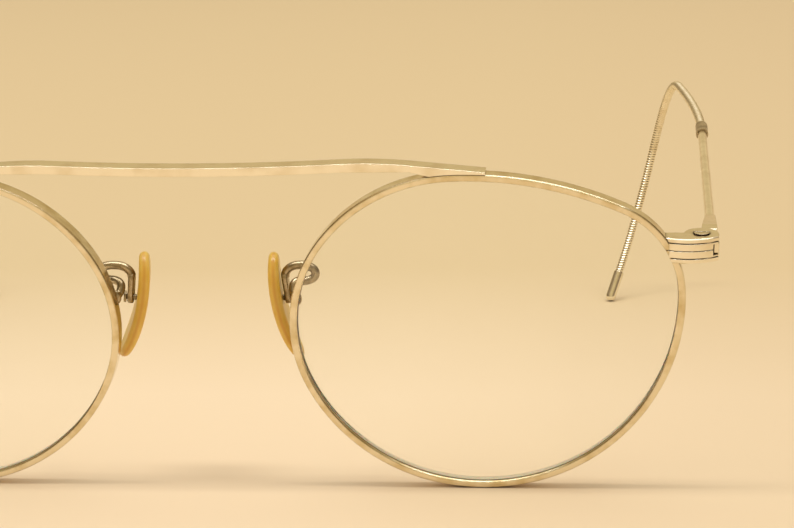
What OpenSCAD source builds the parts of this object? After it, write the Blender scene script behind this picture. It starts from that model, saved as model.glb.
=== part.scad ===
// Full-rim wire spectacles with a straight brow bar, rocking nose pads and
// riding-bow temples, whose rear ends are wound cables that curl behind the ears.
//
// Everything is drawn with the rims' front faces upright on Y = 0, the rims' lowest
// edges on Z = 0 and the wearer's left on +X. Each sub-part is then leaned forward
// by one small angle, so that the rims' bottoms and both cable tips rest on Z = 0.

/* [Rims and lenses] */
// Width of one rim over its outer edge
rim_width = 46.4; // [42:0.2:52]
// Gap between the two rims' outer edges, over the nose
bridge_gap = 20.6; // [18:0.2:24]
// Depth of the rim wire, front to back
rim_depth = 2.1; // [1.8:0.1:2.6]
// Thickness of the rim wire, seen from the front
rim_wall = 0.85; // [0.75:0.05:1.1]
// Depth of the lens groove inside the rim
groove_depth = 0.45; // [0.3:0.05:0.5]
// Thickness of the lenses
lens_thickness = 1.3; // [1:0.1:1.6]
// Radius of the lenses' front surface
lens_curve = 424; // [300:1:600]

/* [Brow bar] */
// Height of the bar's top edge above the rims' tops, at the middle
bar_rise = 0.92; // [0.5:0.02:1.2]
// Height of the bar's front face, at the middle
bar_height = 1; // [0.8:0.05:1.4]
// Depth of the bar, front to back
bar_depth = 2.2; // [1.6:0.1:2.6]
// Distance from the middle to each end of the bar
bar_reach = 33.8; // [31:0.2:36]

/* [End pieces and hinges] */
// Height of the closing line between the upper and lower lug
split_height = 30.1; // [28.5:0.1:31.5]
// Height of both lugs together
lug_height = 2.95; // [2.7:0.05:3.4]
// Distance from the rim's outermost edge to the hinge screw
hinge_reach = 1.75; // [1.6:0.05:2.4]
// Radius of the hinge screw's shank
screw_radius = 0.58; // [0.5:0.02:0.7]
// Height of the temple's tongue, between the two lugs
tongue_height = 1.2; // [1:0.05:1.4]
// Sideways tilt of both hinge axes, which lets one folded temple pass over the other
hinge_tilt = 1.2; // [1:0.1:1.5]

/* [Nose pads] */
// Height of a nose pad
pad_height = 13.8; // [11:0.2:15]
// Width of a nose pad, front to back
pad_width = 6.4; // [5:0.2:7.4]
// Thickness of a nose pad
pad_thickness = 1.3; // [1.1:0.1:1.6]
// Distance between the pads at half height
pad_spacing = 16.6; // [15:0.1:18]
// Angle that each pad is rocked towards the wearer's right, as it was left
pad_rock = 8; // [0:1:10]
// How much more the right pad leans than the mean of both, as they were fitted
pad_skew = 1.7; // [0:0.1:2.5]
// Thickness of the pad arms' wire
arm_wire = 1.05; // [0.8:0.05:1.2]

/* [Temples] */
// Length of a temple's shaft, from the hinge to the cable
shaft_length = 60; // [50:1:70]
// Thickness of the shaft's wire
shaft_wire = 1.2; // [1:0.05:1.4]
// Angle that the temples fall towards the ears
temple_fall = 3; // [2:0.5:4]
// Angle that the left temple spreads outwards, as it was left
temple_spread = 1.2; // [0:0.1:2]
// Angle that the left temple was left folded in. The right one stands at its stop
left_fold = 4.5; // [0:0.5:6]
// Thickness of the wound cable
cable_width = 1.3; // [1.1:0.05:1.5]
// Straight length of the cable before its curl
cable_run = 32; // [26:1:36]
// Radius of the curl's tight bend
curl_radius = 12; // [10:0.5:15]
// Angle of the curl's tight bend
curl_turn = 105; // [95:1:110]
// Length of the curl's open end, behind the ear
curl_tail = 22; // [18:1:26]
// Distance that the cable comes in towards the head by its end
curl_inset = 13; // [8:0.5:15]
// Length of the polished cap on the cable's end
cap_length = 5; // [4:0.5:6]

/* [Hidden] */
$fn = 72;

gold = "#cfc4ac";
worn_gold = "#a89c84";
amber = "#d9a441";
glass = "#dfe8e4";

// The rim's outline is seven arcs that meet smoothly. outline_turns holds the
// direction in which the outline faces where each arc starts, counted from the
// temple side, and outline_radii the arcs' radii. Two radii are worked out so that
// the outline closes.
outline_turns = [0.5, 65.5, 92.5, 145, 206, 256, 315];
outline_radii = [11.9, 44.3, 20.6, 17.4, 0, 23.6, 0];
ARCS = len(outline_turns);
function facing(angle) = [cos(angle), sin(angle)];
function turn(i) = outline_turns[i % ARCS] + 360 * floor(i / ARCS);
function span(i) = facing(turn(i + 1)) - facing(turn(i));
function open_sum(i = 0) =
    i == ARCS ? [0, 0] : outline_radii[i] * span(i) + open_sum(i + 1);
function cross2(a, b) = a.x * b.y - a.y * b.x;
lower_nose_radius = -cross2(open_sum(), span(6)) / cross2(span(4), span(6));
lower_side_radius = -cross2(span(4), open_sum()) / cross2(span(4), span(6));
function shape_radius(i) =
    i == 4 ? lower_nose_radius : i == 6 ? lower_side_radius : outline_radii[i];
function shape_centre(i) =
    i == 0 ? [0, 0]
    : shape_centre(i - 1) + (shape_radius(i - 1) - shape_radius(i)) * facing(turn(i));
shape_nose = shape_centre(3).x - shape_radius(3);
shape_side = shape_centre(6).x + shape_radius(6);
shape_bottom = shape_centre(5).y - shape_radius(5);
outline_scale = rim_width / (shape_side - shape_nose);
function arc_radius(i) = outline_scale * shape_radius(i);
function arc_centre(i) =
    outline_scale * (shape_centre(i) - [shape_nose, shape_bottom]) + [bridge_gap / 2, 0];
function outline_point(i, angle, inset) =
    arc_centre(i) + (arc_radius(i) - inset) * facing(angle);
function outline_points(inset, steps = 8) =
    [for (i = [0:ARCS - 1], k = [0:steps - 1])
        outline_point(i, turn(i) + (turn(i + 1) - turn(i)) * k / steps, inset)];
rim_side = bridge_gap / 2 + rim_width;
rim_top = arc_centre(1).y + arc_radius(1);

// Rim wire and lens edge
edge_bevel = 0.14;
groove_mouth = 1.1;
groove_floor = 0.2;
rim_split = 0.1;
lens_play = 0.04;
lens_set_back = 0.1;
lens_reach = 34;
lens_depth = 5;

// Brow bar: half of its top edge, from the middle outwards, is a long dip, a low hump
// and a straight fall to the end
bar_dip_radius = 357;
hump_place = 21;
hump_radius = 54;
hump_half = 4;
bar_end_depth = 1;
bar_top = rim_top + bar_rise;
dip_end = hump_place - hump_half;
dip_rise = dip_end * dip_end / 2 / bar_dip_radius;
hump_start_slope = dip_end / bar_dip_radius;
hump_length = 2 * hump_half;
hump_peak = bar_top + dip_rise + hump_start_slope * hump_start_slope * hump_radius / 2;
function dip_top(x) = bar_top + x * x / 2 / bar_dip_radius;
function hump_top(x) =
    bar_top + dip_rise + hump_start_slope * x - x * x / 2 / hump_radius;
fall_slope = hump_start_slope - hump_length / hump_radius;
bar_end_top = hump_top(hump_length) + fall_slope * (bar_reach - dip_end - hump_length);

// End piece
hinge_x = rim_side + hinge_reach;
hinge_y = 1.9;
slot_gap = 0.06;
pin_play = 0.04;
knuckle_radius = 2.05;
lug_front_radius = 5.6;
lug_front_x = hinge_x - 1.45;
lug_front_y = -0.5;
lug_back_y = rim_depth;
lug_inner_x = hinge_x - 5.6;
lug_outer_x = hinge_x + knuckle_radius - 0.15;
lug_bevel = 0.12;
band_groove_depth = 0.2;
band_groove_height = 0.14;
band_height = 0.56;
cheek_x = hinge_x + 1.3;
tongue_radius = 1.45;
tongue_reach = 1.95;
head_radius = 0.95;
head_height = 0.4;
head_sink = 0.25;
head_play = 0.05;
driver_slot = 0.22;
thread_radius = screw_radius - 0.08;
thread_play = 0.01;
slot_inwards = 2.65;
lug_top = split_height + lug_height / 2;
lug_bottom = split_height - lug_height / 2;

// Temple
shaft_radius = shaft_wire / 2;
shaft_offset = 1.25;
butt_start = 2.4;
butt_length = 9;
butt_height = 2.3;
ferrule_radius = 0.86;
ferrule_length = 5;
ferrule_lap = 2;
ferrule_play = 0.02;
cable_radius = cable_width / 2;
core_radius = 0.3;
core_play = 0.04;
cap_radius = 0.8;
cap_lap = 1.6;
cable_rings = 36;
end_gap = 0.02;
spread_fade = 15;
function lean_along(fall, spread) =
    [sin(spread) * cos(fall), cos(spread) * cos(fall), -sin(fall)];
shaft_way = lean_along(temple_fall, temple_spread);
shaft_start = [hinge_x + shaft_offset, hinge_y, split_height];
cable_start = shaft_start + shaft_length * shaft_way;
DEGREES = 180 / PI;
bend_length = curl_radius * curl_turn / DEGREES;
tail_radius = 65;
cable_length = cable_run + bend_length + curl_tail;

// Heading of the cable below level, and its place, at a distance s along it
function heading(s) =
    s < cable_run ? temple_fall
    : s < cable_run + bend_length ? temple_fall + (s - cable_run) / curl_radius * DEGREES
    : temple_fall + curl_turn + (s - cable_run - bend_length) / tail_radius * DEGREES;
function run_end() = cable_run * [cos(temple_fall), -sin(temple_fall)];
function bent(radius, from, to) = radius * [sin(to) - sin(from), cos(to) - cos(from)];
function cable_plan(s) =
    s < cable_run ? s * [cos(temple_fall), -sin(temple_fall)]
    : s < cable_run + bend_length ? run_end() + bent(curl_radius, temple_fall, heading(s))
    : run_end() + bent(curl_radius, temple_fall, temple_fall + curl_turn)
        + bent(tail_radius, temple_fall + curl_turn, heading(s));
function cable_side(s) =
    tan(temple_spread) * s * exp(-s / spread_fade) - curl_inset * pow(s / cable_length, 2);
function cable_point(s) =
    cable_start + [cable_side(s), cable_plan(s).x, cable_plan(s).y];
function unit(v) = v / norm(v);
function cable_way(s) = unit(cable_point(s + 0.05) - cable_point(s - 0.05));
cap_start = cable_length - cap_length + cap_radius;
cap_way = cable_way(cap_start);
tip_centre = cable_point(cap_start) + (cap_length - cap_radius) * cap_way;

// Nose pads: each stands on an arc that bulges towards the nose
pad_lean = 13.8;
pad_arc_radius = 23.4;
pad_set_out = 0.25;
pad_middle = [pad_spacing / 2 + pad_set_out, 5.4, 21.3];
pad_splay = 2;
pad_rings = 14;
pad_sides = 24;
leg_thickness = 0.7;
leg_width = 1.6;
leg_set_out = 1.05;
leg_x = pad_middle.x + leg_set_out;
leg_y = 4.9;
leg_z = 22.7;
leg_lean = 6.5;
leg_length = 3.2;
rivet_radius = 0.35;
rivet_play = 0.1;
rivet_fit = 0.01;
rivet_reach = 1.45;
rivet_head_radius = 0.7;
rivet_head_height = 0.3;
rivet_head_gap = 0.2;
foot_radius = 0.75;
foot_height = 0.5;
foot_set_in = 0.65;
arm_foot = [bridge_gap / 2 + foot_set_in, rim_depth, 23.5];
// Route of a pad arm's wire, from its foot on the rim round the loop to the leg. The
// first half is counted from the foot and the second from the leg
foot_route = [
    [0, 0.4, 0], [-0.2, 0.9, 0.1], [-0.5, 1.4, 0.6], [-0.4, 1.8, 1.2], [0.25, 2.2, 1.5],
    [1.05, 2.5, 1.5], [1.9, 2.7, 1.8]];
leg_route = [
    [3.5, 0, 3.1], [3.25, 0.1, 3.65], [2.5, 0.1, 3.95], [1.6, 0.05, 4], [0.7, 0, 3.85],
    [0.1, 0, 3.45], [-0.2, 0, 3], [-0.25, 0, 2.5]];
arm_route = concat(
    [for (p = foot_route) arm_foot + p], [for (p = leg_route) [leg_x, leg_y, leg_z] + p]);

// Lean that brings the cable caps down to the level of the rims' bottoms, and the
// shift that puts the origin under the middle of the whole object
rest_y = edge_bevel;
tip_back = norm([tip_centre.y - rest_y, tip_centre.z]);
lean = asin(cap_radius / tip_back) - atan2(tip_centre.z, tip_centre.y - rest_y);
function leaned_y(p) = p.y * cos(lean) - p.z * sin(lean);
cable_backs = [for (k = [0:cable_rings]) leaned_y(cable_point(k / cable_rings * cap_start))];
back_y = max(cable_backs) + cable_radius;
front_y = leaned_y([0, 0, hump_peak]);
// A point of the mirrored right temple after its turn outwards
function opened_point(p) =
    let (axis = [-sin(hinge_tilt), 0, cos(hinge_tilt)],
        from = p - [hinge_x, hinge_y, split_height])
    [hinge_x, hinge_y, split_height] + from * cos(left_fold)
        + cross(from, axis) * sin(left_fold) + axis * (axis * from) * (1 - cos(left_fold));
left_reach = cable_start.x + (ferrule_length - ferrule_lap) * shaft_way.x + ferrule_radius;
right_xs = [for (k = [0:cable_rings])
    opened_point(cable_point(k / cable_rings * cap_start)).x];
right_reach = max(right_xs) + cable_radius;
stand_shift = [
    (right_reach - left_reach) / 2, -(front_y + back_y) / 2, -rest_y * sin(lean)];
module standing() {
    translate(stand_shift) rotate([lean, 0, 0]) children();
}
module side(left) {
    if (left) {
        children();
    } else {
        mirror([1, 0, 0]) children();
    }
}

// A move made in a coarse and a fine step, so that no digit of it is lost. The arcs'
// ends need that to meet face to face.
module exactly_at(place) {
    coarse = [for (value = place) round(value * 1000) / 1000];
    translate(coarse) translate(place - coarse) children();
}

// A section drawn with its outer edge on X = 0 and its depth towards -Y, taken
// along one arc of the rim's outline
module along_arc(i) {
    exactly_at([arc_centre(i).x, 0, arc_centre(i).y])
        rotate([90, 0, 0])
        rotate_extrude(angle = turn(i + 1) - turn(i), start = turn(i))
        exactly_at([arc_radius(i), 0])
        children();
}
module along_outline() {
    for (i = [0:ARCS - 1]) along_arc(i) children();
}

module rim_section() {
    middle = rim_depth / 2;
    polygon([
        [-rim_wall + edge_bevel, 0], [-edge_bevel, 0], [0, -edge_bevel],
        [0, -rim_depth + edge_bevel], [-edge_bevel, -rim_depth],
        [-rim_wall + edge_bevel, -rim_depth], [-rim_wall, -rim_depth + edge_bevel],
        [-rim_wall, -middle - groove_mouth / 2],
        [-rim_wall + groove_depth, -middle - groove_floor / 2],
        [-rim_wall + groove_depth, -middle + groove_floor / 2],
        [-rim_wall, -middle + groove_mouth / 2], [-rim_wall, -edge_bevel]]);
}

// Space of the rim and the lens opening, which the pieces brazed to it are cut to
module rim_space(arcs, wall) {
    for (i = arcs) {
        along_arc(i) translate([-wall, -rim_depth - 1]) square([wall, rim_depth + 2]);
    }
}

// A level slice through the end piece's place, from a height upwards
module end_piece_slice(from, height) {
    translate([lug_inner_x - 1, lug_front_y - 1, from]) cube([
        hinge_x + knuckle_radius - lug_inner_x + 2, hinge_y + knuckle_radius - lug_front_y + 2,
        height]);
}
module rim(left) {
    color(gold) standing() side(left) difference() {
        along_outline() rim_section();
        end_piece_slice(split_height - rim_split / 2, rim_split);
    }
}

// The lens is a shell of one even curve, cut to the outline with a bevel that sits
// in the rim's groove
module lens_blank() {
    depth = lens_set_back + lens_curve;
    rotate([90, 0, 0]) rotate_extrude() intersection() {
        difference() {
            translate([0, -depth]) circle(lens_curve, $fn = 2000);
            translate([0, -depth]) circle(lens_curve - lens_thickness, $fn = 2000);
        }
        translate([0, -lens_set_back - lens_depth]) square([lens_reach, lens_depth + 1]);
    }
}
module lens_edge_section() {
    inner = -rim_wall - 2;
    edge = -rim_wall - lens_play;
    bevel_tip = edge + groove_depth - lens_play;
    middle = rim_depth / 2;
    polygon([[inner, 1], [edge, 1], [edge, -middle + groove_mouth / 2 - lens_play],
        [bevel_tip, -middle], [edge, -middle - groove_mouth / 2 + lens_play],
        [edge, -lens_depth], [inner, -lens_depth]]);
}
lens_middle = [bridge_gap / 2 + rim_width / 2, rim_top / 2];
module lens(left) {
    color(glass, 0.4) standing() side(left) intersection() {
        translate([lens_middle.x, 0, lens_middle.y]) lens_blank();
        union() {
            along_outline() lens_edge_section();
            translate([0, lens_depth, 0]) rotate([90, 0, 0]) linear_extrude(lens_depth + 1)
                polygon(outline_points(rim_wall + 1));
        }
    }
}

function bar_half_top() = concat(
    [for (k = [0:8]) [dip_end * k / 8, dip_top(dip_end * k / 8)]],
    [for (k = [1:8]) [dip_end + hump_length * k / 8, hump_top(hump_length * k / 8)]],
    [[bar_reach, bar_end_top]]);
function bar_half_bottom() = concat(
    [for (k = [0:8]) [dip_end * k / 8, dip_top(dip_end * k / 8) - bar_height]],
    [[hump_place + hump_half, bar_top - bar_height + dip_rise],
        [bar_reach, bar_end_top - bar_height - bar_end_depth]]);
function mirrored(points) = [for (p = points) [-p.x, p.y]];
function reversed(points) = [for (k = [len(points) - 1:-1:0]) points[k]];
module brow_bar() {
    top = bar_half_top();
    bottom = bar_half_bottom();
    color(gold) standing() difference() {
        translate([0, bar_depth, 0]) rotate([90, 0, 0]) linear_extrude(bar_depth)
            polygon(concat(reversed(mirrored(top)), top, reversed(bottom), mirrored(bottom)));
        side(true) rim_space([1, 2], bar_height + 5);
        side(false) rim_space([1, 2], bar_height + 5);
    }
}

// The hinge's own frame: its origin is on the screw's axis at the closing line
module at_hinge(left) {
    translate([hinge_x, hinge_y, split_height])
        rotate([0, left ? hinge_tilt : -hinge_tilt, 0])
        children();
}

// Front of the end piece: turned about an upright axis, with bevelled edges and two
// thin grooves that part it into bands
module lug_front_section() {
    half = lug_height / 2;
    groove = half - band_height;
    bottom = -groove - band_groove_height / 2;
    top = groove - band_groove_height / 2;
    r = lug_front_radius;
    polygon([
        [0, -half], [r - lug_bevel, -half], [r, -half + lug_bevel],
        [r, bottom], [r - band_groove_depth, bottom],
        [r - band_groove_depth, bottom + band_groove_height], [r, bottom + band_groove_height],
        [r, top], [r - band_groove_depth, top],
        [r - band_groove_depth, top + band_groove_height], [r, top + band_groove_height],
        [r, half - lug_bevel], [r - lug_bevel, half], [0, half]]);
}
module lug_body() {
    intersection() {
        translate([lug_front_x, lug_front_y + lug_front_radius, split_height])
            rotate_extrude() lug_front_section();
        translate([lug_inner_x, lug_front_y, lug_bottom])
            cube([lug_outer_x - lug_inner_x, lug_back_y - lug_front_y, lug_height]);
    }
    translate([hinge_x, hinge_y, split_height]) rotate_extrude() polygon([
        [0, -lug_height / 2], [knuckle_radius - lug_bevel, -lug_height / 2],
        [knuckle_radius, -lug_height / 2 + lug_bevel],
        [knuckle_radius, lug_height / 2 - lug_bevel],
        [knuckle_radius - lug_bevel, lug_height / 2], [0, lug_height / 2]]);
}
// Slot for the temple's tongue, open to the back and to the outside
module tongue_slot() {
    height = tongue_height + 2 * slot_gap;
    outwards = knuckle_radius + 1;
    translate([0, 0, -height / 2]) {
        cylinder(r = tongue_radius + 0.15, h = height);
        translate([-slot_inwards, -0.5, 0])
            cube([slot_inwards + outwards, knuckle_radius + 1.5, height]);
        translate([cheek_x - hinge_x, lug_front_y - hinge_y - 1, 0])
            cube([outwards, hinge_y - lug_front_y + 2, height]);
    }
}
module lug_blank(left) {
    difference() {
        lug_body();
        rim_space([0, 6], arc_radius(0) / 2);
        at_hinge(left) tongue_slot();
    }
    // The front of the lug laps over the rim's face
    intersection() {
        lug_body();
        difference() {
            translate([lug_inner_x, lug_front_y - 1, lug_bottom])
                cube([rim_side - lug_inner_x, 1 - lug_front_y, lug_height]);
            translate([0, -2, 0]) lens_space();
        }
    }
}
module lens_space() {
    for (i = [0, 6]) {
        along_arc(i) translate([-6, -4]) square([6 - rim_wall, 5]);
    }
}
module upper_lug(left) {
    color(gold) standing() side(left) difference() {
        lug_blank(left);
        end_piece_slice(split_height + rim_split / 2 - lug_height, lug_height);
        at_hinge(left) {
            cylinder(r = screw_radius + pin_play, h = lug_height);
            translate([0, 0, lug_height / 2 - head_sink])
                cylinder(r = head_radius + head_play, h = lug_height);
        }
    }
}
module lower_lug(left) {
    color(gold) standing() side(left) difference() {
        lug_blank(left);
        end_piece_slice(split_height - rim_split / 2, lug_height);
        at_hinge(left) translate([0, 0, -lug_height])
            cylinder(r = thread_radius + thread_play, h = lug_height);
    }
}
module hinge_screw(left) {
    shoulder = tongue_height / 2 + slot_gap;
    color(worn_gold) standing() side(left) at_hinge(left) difference() {
        union() {
            translate([0, 0, -shoulder])
                cylinder(r = screw_radius, h = shoulder + lug_height / 2 - head_sink);
            translate([0, 0, -lug_height / 2])
                cylinder(r = thread_radius, h = lug_height / 2 - shoulder);
            translate([0, 0, lug_height / 2 - head_sink])
                cylinder(r = head_radius, h = head_height);
        }
        translate([-head_radius - 1, -driver_slot / 2, lug_height / 2 - head_sink + head_height / 2])
            cube([2 * head_radius + 2, driver_slot, 1]);
    }
}

// Temple: a tongue on the screw, a butt that tapers back, and the straight shaft. The
// tongue's lobe lies in the notch at the end of the lugs, and meets its cheek when the
// temple is fully open
module tongue() {
    translate([0, 0, -tongue_height / 2]) linear_extrude(tongue_height) difference() {
        union() {
            circle(tongue_radius);
            polygon([
                [tongue_reach, 0.4], [tongue_reach, butt_start + 1], [0.2, butt_start + 1],
                [-0.2, butt_start], [-0.45, 1.2], [-0.45, 0], [0.6, 0]]);
            rotate(left_fold) polygon([
                [cheek_x - hinge_x + slot_gap, -1.2], [tongue_reach - 0.1, -1.1],
                [tongue_reach, -0.9], [tongue_reach, 0.6], [0.6, 0]]);
        }
        circle(screw_radius + pin_play);
    }
}
module butt() {
    back = butt_start + butt_length;
    half = butt_height / 2;
    intersection() {
        translate([0, 0, -half]) linear_extrude(butt_height) polygon([
            [0.1, butt_start], [tongue_reach - 0.2, butt_start],
            [tongue_reach, butt_start + 0.2],
            [shaft_offset + shaft_radius + sin(temple_spread) * back, back],
            [shaft_offset - shaft_radius + sin(temple_spread) * back, back]]);
        rotate([90, 0, 90]) linear_extrude(2 * tongue_reach) polygon([
            [butt_start, half - 0.2], [butt_start + 0.2, half], [butt_start + 2, half],
            [back, -sin(temple_fall) * back + shaft_radius],
            [back, -sin(temple_fall) * back - shaft_radius],
            [butt_start + 2, -half], [butt_start + 0.2, -half], [butt_start, 0.2 - half]]);
    }
}
// The right temple's own turn outwards on its screw, from the left one's mirror image
module opened(left) {
    if (left) {
        children();
    } else {
        translate([hinge_x, hinge_y, split_height])
            rotate([0, -hinge_tilt, 0]) rotate([0, 0, -left_fold]) rotate([0, hinge_tilt, 0])
            translate([-hinge_x, -hinge_y, -split_height])
            children();
    }
}
module along_shaft(distance) {
    translate(shaft_start + distance * shaft_way)
        rotate([-90 - temple_fall, 0, -temple_spread])
        children();
}
module temple(left) {
    color(gold) standing() side(left) opened(left) {
        at_hinge(left) tongue();
        translate([hinge_x, hinge_y, split_height]) butt();
        along_shaft(butt_start + 4) cylinder(r = shaft_radius, h = shaft_length - butt_start - 4);
    }
}
module ferrule(left) {
    color(worn_gold) standing() side(left) opened(left) along_shaft(shaft_length) difference() {
        translate([0, 0, -ferrule_lap]) cylinder(r = ferrule_radius, h = ferrule_length);
        translate([0, 0, -ferrule_lap - 1])
            cylinder(r = shaft_radius + ferrule_play, h = ferrule_lap + 1);
        cylinder(r = cable_radius + ferrule_play, h = ferrule_length);
    }
}

// A round tube swept along a list of points. level is a direction that the route
// never follows, used to keep the rings from twisting
function way_at(route, k) =
    unit(route[min(k + 1, len(route) - 1)] - route[max(k - 1, 0)]);
function ring_at(route, k, radius, sides, level) =
    let (way = way_at(route, k),
        across = unit(level - (level * way) * way),
        over = cross(way, across))
    [for (j = [0:sides - 1])
        route[k] + radius * (cos(360 * j / sides) * across + sin(360 * j / sides) * over)];
module swept(rings) {
    count = len(rings);
    sides = len(rings[0]);
    points = [for (ring = rings, p = ring) p];
    walls = [for (k = [0:count - 2], j = [0:sides - 1])
        let (a = k * sides + j, b = k * sides + (j + 1) % sides)
        each [[a, b + sides, b], [a, a + sides, b + sides]]];
    first = [for (j = [0:sides - 1]) j];
    last = [for (j = [sides - 1:-1:0]) (count - 1) * sides + j];
    polyhedron(points, concat([first], walls, [last]));
}
module tube(route, radius, sides, level) {
    swept([for (k = [0:len(route) - 1]) ring_at(route, k, radius, sides, level)]);
}
function cable_route(from, to) =
    [for (k = [0:cable_rings]) cable_point(from + (to - from) * k / cable_rings)];

module cable_core(left) {
    color(worn_gold) standing() side(left) opened(left)
        tube(cable_route(end_gap, cap_start + cap_lap - 0.1), core_radius, 6, [1, 0, 0]);
}
module ear_cable(left) {
    color(gold) standing() side(left) opened(left) difference() {
        tube(cable_route(end_gap, cap_start - end_gap), cable_radius, 10, [1, 0, 0]);
        tube(cable_route(-0.5, cap_start + 0.5), core_radius + core_play, 6, [1, 0, 0]);
    }
}
module cable_cap(left) {
    side_angle = atan2(cap_way.x, cap_way.y);
    fall_angle = acos(-cap_way.z);
    length = cap_length - cap_radius;
    color(gold) standing() side(left) opened(left) translate(cable_point(cap_start))
        rotate([0, 0, -side_angle]) rotate([fall_angle - 180, 0, 0]) difference() {
            union() {
                cylinder(r = cap_radius, h = length);
                translate([0, 0, length]) sphere(cap_radius, $fn = 48);
            }
            translate([0, 0, -1]) cylinder(r = core_radius + core_play, h = cap_lap + 1);
        }
}

// Nose pad: rings of a rounded flat section along an arc
module on_pad(left) {
    swing = left ? pad_rock : -pad_rock;
    translate([leg_x, leg_y, leg_z])
        rotate([0, -leg_lean, 0])
        rotate([0, 0, swing])
        rotate([0, leg_lean, 0])
        translate([-leg_x, -leg_y, -leg_z])
        children();
}
function pad_ring(t) =
    let (along = t * pad_height / 2 / pad_arc_radius * DEGREES,
        bulge = sqrt(max(0, 1 - t * t)),
        half_width = pad_width / 2 * pow(bulge, 0.75),
        half_thick = pad_thickness / 2 * pow(max(0, 1 - pow(abs(t), 5)), 0.5))
    [for (j = [0:pad_sides - 1])
        let (a = 360 * j / pad_sides,
            w = sign(cos(a)) * pow(abs(cos(a)), 0.8) * half_width,
            d = sign(sin(a)) * pow(abs(sin(a)), 0.8) * half_thick,
            r = pad_arc_radius + d)
        [r * cos(along) - pad_arc_radius, w, r * sin(along)]];
module nose_pad(left) {
    reach = 0.985;
    color(amber) standing() side(left) on_pad(left) difference() {
        translate(pad_middle)
            rotate([0, left ? pad_skew - pad_lean : -pad_skew - pad_lean, 0])
            rotate([0, 0, -pad_splay])
            mirror([1, 0, 0])
            swept(reversed([for (k = [-pad_rings:pad_rings])
                pad_ring(reach * sin(90 * k / pad_rings))]));
        rivet_shank(0);
    }
}
// The rivet points from the leg's far side towards the pad
module at_leg() {
    translate([leg_x, leg_y, leg_z]) rotate([0, -leg_lean - 90, 0]) children();
}
rivet_head_start = -leg_thickness / 2 - rivet_head_gap - rivet_head_height;
module rivet_shank(play) {
    start = rivet_head_start + rivet_head_height / 2;
    at_leg() translate([0, 0, start])
        cylinder(r = rivet_radius + play, h = rivet_reach - start);
}
module pad_rivet(left) {
    color(worn_gold) standing() side(left) on_pad(left) {
        rivet_shank(-rivet_fit);
        at_leg() translate([0, 0, rivet_head_start])
            cylinder(r = rivet_head_radius, h = rivet_head_height);
    }
}

// Pad arm: a foot on the back of the rim, a loop of wire, and a flattened leg that
// carries the pad's rivet
module pad_arm(left) {
    color(worn_gold) standing() side(left) {
        translate(arm_foot) rotate([-90, 0, 0]) cylinder(r = foot_radius, h = foot_height);
        tube(arm_route, arm_wire / 2, 8, [0, 1, 0]);
        at_leg() difference() {
            translate([0, 0, -leg_thickness / 2]) union() {
                cylinder(r = leg_width / 2, h = leg_thickness);
                translate([0, -leg_width / 2, 0]) cube([leg_length, leg_width, leg_thickness]);
            }
            translate([0, 0, -1]) cylinder(r = rivet_radius + rivet_play, h = 2);
        }
    }
}

rim(true);  // left_rim
rim(false);  // right_rim
brow_bar();
lens(true);  // left_lens
lens(false);  // right_lens
pad_arm(true);  // left_pad_arm
pad_arm(false);  // right_pad_arm
pad_rivet(true);  // left_pad_rivet
pad_rivet(false);  // right_pad_rivet
nose_pad(true);  // left_nose_pad
nose_pad(false);  // right_nose_pad
upper_lug(true);  // left_upper_lug
upper_lug(false);  // right_upper_lug
lower_lug(true);  // left_lower_lug
lower_lug(false);  // right_lower_lug
hinge_screw(true);  // left_hinge_screw
hinge_screw(false);  // right_hinge_screw
temple(true);  // left_temple
temple(false);  // right_temple
ferrule(true);  // left_ferrule
ferrule(false);  // right_ferrule
cable_core(true);  // left_cable_core
cable_core(false);  // right_cable_core
ear_cable(true);  // left_ear_cable
ear_cable(false);  // right_ear_cable
cable_cap(true);  // left_cable_cap
cable_cap(false);  // right_cable_cap
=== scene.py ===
# Finish for a pair of wire-rim spectacles with a brow bar, rocking nose pads and wound
# ear cables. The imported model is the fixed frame: its metal parts get their materials
# here. The lenses, the pads, the pads' arms and the ear cables are modelled in full and
# stand in for the plainer solids.
import math

import bpy
from mathutils import Matrix, Vector


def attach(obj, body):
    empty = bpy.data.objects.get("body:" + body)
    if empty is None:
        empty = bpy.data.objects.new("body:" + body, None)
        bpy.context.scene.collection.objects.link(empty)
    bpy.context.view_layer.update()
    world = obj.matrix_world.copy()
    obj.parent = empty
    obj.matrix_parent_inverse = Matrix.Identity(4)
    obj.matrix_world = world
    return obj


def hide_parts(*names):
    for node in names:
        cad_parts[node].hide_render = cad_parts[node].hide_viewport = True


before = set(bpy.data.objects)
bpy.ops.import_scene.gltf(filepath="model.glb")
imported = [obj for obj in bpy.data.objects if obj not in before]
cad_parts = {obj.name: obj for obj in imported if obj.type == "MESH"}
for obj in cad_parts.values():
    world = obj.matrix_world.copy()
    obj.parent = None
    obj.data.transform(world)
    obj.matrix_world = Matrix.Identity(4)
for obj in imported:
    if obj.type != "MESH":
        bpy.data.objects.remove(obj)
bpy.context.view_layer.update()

bl_info = {
    "name": "Wire-rim spectacles",
    "version": (1, 0, 0),
    "blender": (4, 5, 0),
    "location": "View3D > Sidebar > Spectacles",
    "description": "Finishes a packed pair of wire-rim spectacles and its studio",
    "category": "Object",
}

MM = 0.001
SIDES = ("left", "right")

# The part is drawn upright and then leaned forward onto its cable ends
LEAN = math.radians(6.34672)
STANDING = (
    Matrix.Translation(Vector((2.60756, -49.6212, -0.0154763)) * MM)
    @ Matrix.Rotation(LEAN, 4, "X")
)
MIRROR = Matrix.Scale(-1, 4, Vector((1, 0, 0)))

# All places and sizes from here to the studio's are in millimetres. Places are on the
# wearer's left side, before the lean.

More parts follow.
